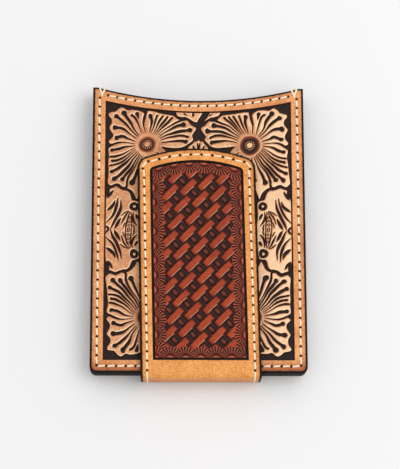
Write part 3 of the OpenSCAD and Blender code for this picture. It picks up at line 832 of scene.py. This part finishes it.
flapHoles, flapBackHoles, tailHoles = (withFoldHoles(h) for h in (flapHoles, flapBackHoles, tailHoles))
stampMiddle = flapStart + 36.0          # the flap's front is in two lengths that meet here
flapFull = flapStart + flapReach
stampStep, borderStep = strapShape["stampStep"], sheetSteps["border"]
flapLow = makeFlapFront("Lower", [(0, borderStep), (flapStart + strapShape["weaveFoot"] - 0.3, stampStep),
                                  (stampMiddle, 1)])
flapHigh = makeFlapFront("Upper", [(stampMiddle, stampStep), (flapFull - 3.7, borderStep)]
                         + stopsToEnd(flapFull))
halfThick = strapThickness / 2
flapUnder = makeStrapLayer("flapLining", flapReach, False, -halfThick, liningThickness - halfThick,
                           flapBackHoles, 0, "flap_lining", "fold_lining")
tailCover = makeStrapLayer("tailCover", tailReach, True, halfThick, liningThickness - halfThick,
                           tailHoles, 1, "tail_cover", "fold_cover")
tailUnder = makeStrapLayer("tailLining", tailReach, True, -halfThick, liningThickness - halfThick,
                           (), 0, "tail_lining", "fold_lining")
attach(flapHigh, "flap")
for piece in (flapLow, flapUnder):
    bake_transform(piece, "fold", "flap", start=(0, foldLow[1] * mm, wallTop * mm),
             end=(0, foot * mm, strapTopZ * mm))
for piece in (tailCover, tailUnder):
    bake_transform(piece, "card_case", "fold", start=(0, foot * mm, tailLow[2] * mm),
             end=(0, foldLow[1] * mm, wallLow * mm))

# Thread

threadShape = dict(radius=0.26, wide=1.08, high=0.92, tipShare=0.80, slant=0.10, proud=0.10, dive=0.42,
                   tack=1.3)


def threadModel(rings):
    # one thread's faces, with each vertex's place along it and round it
    deselect()
    bpy.ops.mesh.primitive_uv_sphere_add(segments=8, ring_count=rings, radius=1, location=(0, 0, 0))
    model = bpy.context.object
    places = np.array([v.co[:] for v in model.data.vertices])
    faces = [list(face.vertices) for face in model.data.polygons]
    bpy.ops.object.delete()
    along = np.arcsin(np.clip(places[:, 2], -1, 1)) / (math.pi / 2)
    turn = np.arctan2(places[:, 1], places[:, 0])
    return along, turn, np.hypot(places[:, 0], places[:, 1]) > 1e-6, faces


def threadPiece(name, runs, rings=7, thickness=1.0):
    # runs: (line of places in millimetres, the way out from the leather)
    along, turn, hasWidth, faces = threadModel(rings)
    share = threadShape["tipShare"] + (1 - threadShape["tipShare"]) * np.cos(along * math.pi / 2)
    radius = np.where(hasWidth, thickness * threadShape["radius"] * share, 0)
    vertices, allFaces = [], []
    for line, out in runs:
        steps = np.linspace(-1, 1, len(line))
        middle = np.stack([np.interp(along, steps, line[:, k]) for k in range(3)], -1)
        run = np.gradient(line, axis=0)
        way = np.stack([np.interp(along, steps, run[:, k]) for k in range(3)], -1)
        way /= np.linalg.norm(way, axis=1)[:, None]
        side = np.cross(way, out)
        side /= np.linalg.norm(side, axis=1)[:, None]
        up = np.cross(side, way)
        place = middle + (radius * np.cos(turn))[:, None] * side * threadShape["wide"]
        place += (radius * np.sin(turn))[:, None] * up * threadShape["high"]
        allFaces += [[i + len(vertices) * len(along) for i in face] for face in faces]
        vertices.append(place)
    mesh = bpy.data.meshes.new(name)
    mesh.from_pydata(np.vstack(vertices) * mm, [], allFaces)
    piece = bpy.data.objects.new(name, mesh)
    bpy.context.scene.collection.objects.link(piece)
    bm = bmesh.new()
    bm.from_mesh(mesh)
    bmesh.ops.recalc_face_normals(bm, faces=bm.faces)
    bm.to_mesh(mesh)
    bm.free()
    pick(piece)
    bpy.ops.object.shade_smooth()
    return piece


def stitchLine(length, slant):
    # one stitch along X: it rises from a hole, lies on the leather and dives into the next
    t = np.linspace(-1, 1, 9)
    return np.stack([t * (length / 2 + 0.12), slant * t * length / 2,
                     threadShape["proud"] - threadShape["dive"] * np.abs(t) ** 5], -1)


def sameWay(axis):
    # all stitches run the same way, so that all lean alike
    return axis * (1 if axis[0] + 0.5 * axis[1] > 0 else -1)


def caseStitchRuns(stitches, face, out):
    runs = []
    for middle, axis, length in stitches:
        axis = sameWay(axis)
        line = stitchLine(length, threadShape["slant"])
        across = np.cross([0, 0, 1], axis)
        places = np.array([middle[0], middle[1], face]) + line[:, :1] * axis + line[:, 1:2] * across
        places[:, 2] += out * (line[:, 2] - seamShape["grooveDepth"])
        runs.append((places, np.array([0, 0, out])))
    return runs


def strapRuns(stitches, outer, skived, tail=False):
    # the same, laid along the folded strap, with more stitches round the fold
    flat = [(middle[0], middle[1] - foot, axis, length) for middle, axis, length in stitches]
    edge = strapHalf - strapShape["seamMargin"]
    first = min(y for _, y, _, _ in flat) - strapShape["pitch"]
    for y in np.arange(first, -flapStart + 0.4, -strapShape["pitch"]):
        flat += [(side * edge, y, np.array([0, 1, 0]), strapShape["pitch"] - 0.55) for side in (-1, 1)]
    runs = []
    for x, y, axis, length in flat:
        axis = sameWay(axis)
        line = stitchLine(length, threadShape["slant"] * 0.6)
        px = x + line[:, 0] * axis[0] - line[:, 1] * axis[1]
        ps = np.maximum(y + flapStart + line[:, 0] * axis[1] + line[:, 1] * axis[0], 0.02)
        way = 1 if outer > 0 else -1
        h = outer + way * (line[:, 2] - seamShape["grooveDepth"]) - skiveAt(ps) * skived
        places = foldedPlace(px, ps, h, tail)
        lifted = foldedPlace(px, ps, h + way, tail)
        runs.append((places, (lifted - places).mean(0)))
    return runs


print("thread")
caseThread = threadPiece("caseStitches", caseStitchRuns(caseStitches, faceZ, 1))
backThread = threadPiece("backStitches", caseStitchRuns(backStitches, backZ, -1))
flapThread = threadPiece("flapStitches", strapRuns(flapStitches, halfThick, 1))
flapBackThread = threadPiece("flapLiningStitches", strapRuns(flapBackStitches, -halfThick, 0))
tailThread = threadPiece("tailStitches", strapRuns(tailStitches, halfThick, 1, tail=True))


def tackRuns():
    # two threads at each end of the mouth go over its edge and share a hole on each face
    runs = []
    for side in (-1, 1):
        hole = side * (caseHalf - caseShape["seamMargin"] - 0.7)
        for outX in (hole + side * 0.6, hole - side * 0.75):
            top = topEdge(np.array(outX)) + 0.05
            # from the hole over the mouth's edge: across, along, and depth below the face
            way = [(hole, caseHeight - 2.9, 0.35), (hole, caseHeight - 2.6, -0.02),
                   (outX, top - 0.5, -0.06), (outX, top + 0.02, 0.15), (outX, top + 0.13, 0.9)]
            steps = [(x, y, faceZ - depth) for x, y, depth in way]
            steps.append((outX, top + 0.13, (faceZ + backZ) / 2))
            steps += [(x, y, backZ + depth) for x, y, depth in reversed(way)]
            line = curveThrough(steps, 5)
            line[:, 1] += foot
            runs.append((line, np.array([1.0, 0, 0])))
    return runs


tacks = threadPiece("cornerTacks", tackRuns(), rings=40, thickness=threadShape["tack"])
for piece, nodes in ((caseThread, ("edge_seam_front", "front_scoop_seam")),
                     (backThread, ("edge_seam_back", "back_scoop_seam")), (tacks, ("corner_tacks",))):
    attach(piece, "card_case")
    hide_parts(*nodes)
for piece, node in ((flapThread, "flap_seam_front"), (flapBackThread, "flap_seam_back")):
    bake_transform(piece, "fold", "flap", start=(0, foldLow[1] * mm, wallTop * mm),
             end=(0, foot * mm, strapTopZ * mm))
    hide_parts(node, "fold_seam")
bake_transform(tailThread, "card_case", "fold", start=(0, foot * mm, tailLow[2] * mm),
         end=(0, foldLow[1] * mm, wallLow * mm))
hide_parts("tail_seam", "fold_seam")

# Materials

def nodeGroup(name, inputs, outputs):
    group = bpy.data.node_groups.new(name, "ShaderNodeTree")
    for label, kind, value in inputs:
        socket = group.interface.new_socket(label, in_out="INPUT", socket_type=kind)
        socket.default_value = value
    for label, kind in outputs:
        group.interface.new_socket(label, in_out="OUTPUT", socket_type=kind)
    return group, group.nodes.new("NodeGroupInput"), group.nodes.new("NodeGroupOutput")


def addNode(tree, kind, **settings):
    node = tree.nodes.new(kind)
    for key, value in settings.items():
        if key in node.inputs:
            node.inputs[key].default_value = value
        else:
            setattr(node, key, value)
    return node


def feed(tree, socket, value):
    # a socket takes a plain value or a link
    if isinstance(value, (tuple, float, int)):
        socket.default_value = value
    else:
        tree.links.new(value, socket)


def mixOf(tree, mask, first, second, blend=None):
    # mixes two colours, or two plain values where no blend is given
    if blend:
        mix = addNode(tree, "ShaderNodeMix", data_type="RGBA", blend_type=blend)
    else:
        mix = addNode(tree, "ShaderNodeMix", data_type="FLOAT")
    start, result = (6, 2) if blend else (2, 0)
    for place, value in ((0, mask), (start, first), (start + 1, second)):
        feed(tree, mix.inputs[place], value)
    return mix.outputs[result]


def calculate(tree, operation, *values):
    node = addNode(tree, "ShaderNodeMath", operation=operation)
    for socket, value in zip(node.inputs, values):
        feed(tree, socket, value)
    return node.outputs[0]


def rangeOf(tree, source, start=0.0, end=1.0, low=0.0, high=1.0):
    # brings start to end on to low to high
    node = addNode(tree, "ShaderNodeMapRange")
    for label, value in (("Value", source), ("From Min", start), ("From Max", end), ("To Min", low),
                         ("To Max", high)):
        feed(tree, node.inputs[label], value)
    return node.outputs["Result"]


def attributeOf(tree, name):
    return addNode(tree, "ShaderNodeAttribute", attribute_name=name).outputs["Fac"]


def rampOf(tree, source, first, second):
    ramp = addNode(tree, "ShaderNodeValToRGB")
    for element, (place, colour) in zip(ramp.color_ramp.elements, (first, second)):
        element.position, element.color = place, colour
    tree.links.new(source, ramp.inputs["Fac"])
    return ramp.outputs["Color"]


def patternOn(tree, kind, stretch=(1, 1, 1), **settings):
    # a texture that lies fixed on its piece
    place = addNode(tree, "ShaderNodeTexCoord").outputs["Object"]
    if stretch != (1, 1, 1):
        mapping = addNode(tree, "ShaderNodeMapping", Scale=stretch)
        tree.links.new(place, mapping.inputs["Vector"])
        place = mapping.outputs["Vector"]
    texture = addNode(tree, kind, **settings)
    tree.links.new(place, texture.inputs["Vector"])
    return texture


def newMaterial(name):
    material = bpy.data.materials.new(name)
    material.use_nodes = True
    tree = material.node_tree
    return material, tree, tree.nodes["Principled BSDF"].inputs


def bumpFrom(tree, height, strength, depth):
    bump = addNode(tree, "ShaderNodeBump", Strength=strength, Distance=depth)
    tree.links.new(height, bump.inputs["Height"])
    return bump.outputs["Normal"]


def srgb(red, green, blue):
    # colour from its screen values, 0 to 255
    def linear(value):
        value /= 255
        return value / 12.92 if value <= 0.04045 else ((value + 0.055) / 1.055) ** 2.4
    return (linear(red), linear(green), linear(blue), 1.0)


def buildGrain():
    # fine pores and creases of vegetable-tanned leather, its slow mottling and its specks
    group, given, out = nodeGroup("leatherGrain",
                                  [("Pores", "NodeSocketFloat", 1.0), ("Mottling", "NodeSocketFloat", 1.0)],
                                  [("Height", "NodeSocketFloat"), ("Mottle", "NodeSocketFloat"),
                                   ("Speckle", "NodeSocketColor")])
    pores = patternOn(group, "ShaderNodeTexVoronoi", Scale=2200.0)
    creases = patternOn(group, "ShaderNodeTexNoise", Scale=4200.0, Detail=3.0)
    wide = patternOn(group, "ShaderNodeTexNoise", Scale=170.0, Detail=4.0, Roughness=0.6)
    specks = patternOn(group, "ShaderNodeTexNoise", Scale=2100.0, Detail=5.0, Roughness=0.7)
    relief = calculate(group, "ADD", pores.outputs["Distance"], creases.outputs["Fac"])
    feed(group, out.inputs["Height"], calculate(group, "MULTIPLY", relief, given.outputs["Pores"]))
    feed(group, out.inputs["Mottle"],
         calculate(group, "MULTIPLY", wide.outputs["Fac"], given.outputs["Mottling"]))
    feed(group, out.inputs["Speckle"],
         rampOf(group, specks.outputs["Fac"], (0.36, srgb(206, 192, 184)), (0.58, srgb(255, 255, 255))))
    return group


def buildEdge():
    # burnished edge paint over stacked fibres: colour, and a height for the bump
    group, given, out = nodeGroup("edgePaint", [("Fibres", "NodeSocketFloat", 1.0)],
                                  [("Colour", "NodeSocketColor"), ("Height", "NodeSocketFloat")])
    fibres = patternOn(group, "ShaderNodeTexNoise", (0.25, 0.25, 2.6), Scale=1600.0, Detail=3.0)
    feed(group, out.inputs["Colour"],
         rampOf(group, fibres.outputs["Fac"], (0.35, srgb(14, 9, 7)), (0.75, srgb(32, 24, 20))))
    feed(group, out.inputs["Height"],
         calculate(group, "MULTIPLY", fibres.outputs["Fac"], given.outputs["Fibres"]))
    return group


def buildDyeAndShade():
    # dye and painted shade over leather: where it is thin it stains a warm brown, where it is full it is
    # black
    group, given, out = nodeGroup("dyeAndShadeOver", [("Leather", "NodeSocketColor", (0.8, 0.8, 0.8, 1)),
                                              ("DyeAndShade", "NodeSocketFloat", 0.0),
                                              ("Black", "NodeSocketColor", (0.01, 0.01, 0.01, 1))],
                                  [("Colour", "NodeSocketColor")])
    thin = rangeOf(group, given.outputs["DyeAndShade"], end=0.6)
    full = rangeOf(group, given.outputs["DyeAndShade"], start=0.3)
    stained = mixOf(group, thin, given.outputs["Leather"], srgb(176, 112, 84), "MULTIPLY")
    feed(group, out.inputs["Colour"], mixOf(group, full, stained, given.outputs["Black"], "MIX"))
    return group


grainGroup, edgeGroup, dyeAndShadeGroup = buildGrain(), buildEdge(), buildDyeAndShade()


def leather(name, colours, roughness=0.45, pores=0.5, byNormal=False):
    # tanned leather: its sheets say where it is dyed or darkened with painted shade, pale or lit with
    # painted highlight, stamped, and painted along the edge
    material, tree, finish = newMaterial(name)
    grain = addNode(tree, "ShaderNodeGroup", node_tree=grainGroup, Pores=1.0, Mottling=1.0).outputs
    edge = addNode(tree, "ShaderNodeGroup", node_tree=edgeGroup, Fibres=1.0).outputs
    colour = rampOf(tree, grain["Mottle"], (0.32, colours["deep"]), (0.68, colours["pale"]))
    for mask in ("carved", "stamped"):
        if mask in colours:
            worked = rampOf(tree, grain["Mottle"], (0.3, colours[mask][0]), (0.7, colours[mask][1]))
            colour = mixOf(tree, attributeOf(tree, mask), colour, worked, "MIX")
    colour = mixOf(tree, 1.0, colour, grain["Speckle"], "MULTIPLY")
    # pale rims and painted highlights go over the leather, then dye and painted shade
    if "paleAndHighlight" in colours:
        colour = mixOf(tree, attributeOf(tree, "paleAndHighlight"), colour, colours["paleAndHighlight"], "MIX")
    if "dyeAndShade" in colours:
        dyedAndShaded = addNode(tree, "ShaderNodeGroup", node_tree=dyeAndShadeGroup, Black=colours["dyeAndShade"])
        feed(tree, dyedAndShaded.inputs["Leather"], colour)
        feed(tree, dyedAndShaded.inputs["DyeAndShade"], attributeOf(tree, "dyeAndShade"))
        colour = dyedAndShaded.outputs["Colour"]
    painted = attributeOf(tree, "paint")
    if byNormal:          # the CAD nodes hold no attribute: their edges are the faces that stand upright
        facing = addNode(tree, "ShaderNodeSeparateXYZ")
        feed(tree, facing.inputs[0], addNode(tree, "ShaderNodeNewGeometry").outputs["Normal"])
        painted = calculate(tree, "LESS_THAN", calculate(tree, "ABSOLUTE", facing.outputs["Z"]), 0.5)
    worn = rangeOf(tree, grain["Mottle"], low=roughness - 0.08, high=roughness + 0.12)
    relief = mixOf(tree, painted, grain["Height"], edge["Height"])
    feed(tree, finish["Base Color"], mixOf(tree, painted, colour, edge["Colour"], "MIX"))
    feed(tree, finish["Roughness"], mixOf(tree, painted, worn, 0.8))
    feed(tree, finish["Specular IOR Level"], 0.15)
    feed(tree, finish["Normal"], bumpFrom(tree, relief, pores, 0.00006))
    return material


def waxedThread():
    material, tree, finish = newMaterial("waxedThread")
    plies = patternOn(tree, "ShaderNodeTexWave", Scale=900.0, Distortion=0.6, bands_direction="DIAGONAL")
    feed(tree, finish["Base Color"],
         rampOf(tree, plies.outputs["Fac"], (0.1, srgb(218, 194, 154)), (0.6, srgb(252, 241, 214))))
    feed(tree, finish["Normal"], bumpFrom(tree, plies.outputs["Fac"], 0.6, 0.00008))
    feed(tree, finish["Roughness"], 0.6)
    feed(tree, finish["Sheen Weight"], 0.2)
    return material


def nickelPlate():
    material, tree, finish = newMaterial("nickelPlate")
    scuffs = patternOn(tree, "ShaderNodeTexNoise", Scale=900.0, Detail=4.0).outputs["Fac"]
    feed(tree, finish["Base Color"],
         rampOf(tree, scuffs, (0.3, srgb(176, 178, 180)), (0.7, srgb(206, 207, 205))))
    feed(tree, finish["Roughness"], rangeOf(tree, scuffs, low=0.18, high=0.4))
    feed(tree, finish["Metallic"], 1.0)
    return material


print("materials")
# the dye colours also paint shade in cuts and needle holes; the pale colours paint pale rims and highlights
blackDyeAndShade = srgb(24, 16, 13)
carvedLeather = leather("carvedLeather", dict(
    deep=srgb(208, 138, 84), pale=srgb(240, 174, 118), carved=(srgb(212, 148, 104), srgb(248, 194, 144)),
    paleAndHighlight=srgb(255, 230, 190), dyeAndShade=blackDyeAndShade))
stampedLeather = leather("stampedLeather", dict(
    deep=srgb(220, 144, 74), pale=srgb(244, 176, 102), stamped=(srgb(144, 51, 25), srgb(176, 71, 36)),
    paleAndHighlight=srgb(242, 184, 152), dyeAndShade=srgb(18, 15, 11)))
plainLeather = leather("plainLeather", dict(
    deep=srgb(206, 132, 76), pale=srgb(232, 160, 100), dyeAndShade=blackDyeAndShade))
fleshSide = dict(deep=srgb(150, 98, 60), pale=srgb(184, 128, 84))
liningLeather = leather("liningLeather", dict(fleshSide, dyeAndShade=blackDyeAndShade), roughness=0.7, pores=0.9)
liningCore = leather("liningCore", fleshSide, roughness=0.7, pores=0.9, byNormal=True)
thread, nickel = waxedThread(), nickelPlate()
for material, pieces in ((carvedLeather, frontQuarters), (stampedLeather, (flapLow, flapHigh)),
                         (plainLeather, (backPanel, tailCover)), (liningLeather, (flapUnder, tailUnder)),
                         (thread, (caseThread, backThread, flapThread, flapBackThread, tailThread, tacks))):
    for piece in pieces:
        piece.data.materials.append(material)
for material, nodes in ((liningCore, ("front_lining", "pocket_welt", "back_lining")),
                        (nickel, ("case_magnets", "flap_magnets"))):
    for node in nodes:
        for slot in bpy.data.objects[node].material_slots:
            slot.material = material

# Camera, light and floor

view = dict(distance=0.5163, tilt=13.77, pan=-1.67, roll=-0.13, lens=150.84, target=(0.44, 43.14, -0.6))
# Each softbox: its place, the length of its sides and its power; the floor lies just below the tail's
# stitches
studio = dict(keyLight=((0.42, 0.02, 0.72), 0.5, 2.1), fillLight=((0.1, 0.4, 0.9), 0.9, 1.7), world=0.865,
              floorSize=6, floorDrop=0.00025, paper=(0.76, 0.752, 0.756, 1), paperRoughness=0.9)
print("camera, light and floor")


def placeCamera():
    target = Vector((view["target"][0] * mm, (view["target"][1] + foot) * mm,
                     (faceZ + view["target"][2]) * mm))
    tilt, pan = math.radians(view["tilt"]), math.radians(view["pan"])
    away = Vector((math.sin(pan) * math.cos(tilt), -math.sin(tilt), math.cos(pan) * math.cos(tilt)))
    bpy.ops.object.camera_add(location=target + view["distance"] * away)
    camera = bpy.context.object
    forward = -away.normalized()
    right = forward.cross(Vector((0, 1, 0))).normalized()
    up = right.cross(forward)
    turn = math.radians(view["roll"])
    right, up = (right * math.cos(turn) + up * math.sin(turn), up * math.cos(turn) - right * math.sin(turn))
    facing = Matrix((right, up, -forward)).transposed().to_4x4()
    camera.matrix_world = Matrix.Translation(camera.location) @ facing
    camera.data.sensor_fit = "HORIZONTAL"
    camera.data.sensor_width = 36
    camera.data.lens = view["lens"]
    camera.data.clip_start = 0.01
    bpy.context.scene.camera = camera


def addSoftbox(name):
    # a square lamp that faces the object
    place, size, power = studio[name]
    bpy.ops.object.light_add(type="AREA", location=place)
    lamp = bpy.context.object
    lamp.name = name
    lamp.data.shape = "RECTANGLE"
    lamp.data.size, lamp.data.size_y = size, size
    lamp.data.energy = power
    lamp.rotation_euler = (-Vector(place)).to_track_quat("-Z", "Y").to_euler()


placeCamera()
addSoftbox("keyLight")
addSoftbox("fillLight")
deselect()
bpy.ops.mesh.primitive_plane_add(size=studio["floorSize"], location=(0, 0, -studio["floorDrop"]))
floor = bpy.context.object
floor.name = "floor"
floorPaper, paperTree, paperFinish = newMaterial("floorPaper")
feed(paperTree, paperFinish["Base Color"], studio["paper"])
feed(paperTree, paperFinish["Roughness"], studio["paperRoughness"])
floor.data.materials.append(floorPaper)
world = bpy.data.worlds.new("studio")
bpy.context.scene.world = world
world.use_nodes = True
world.node_tree.nodes["Background"].inputs["Color"].default_value = (1, 1, 1, 1)
world.node_tree.nodes["Background"].inputs["Strength"].default_value = studio["world"]
bpy.context.scene.view_settings.view_transform = "Standard"
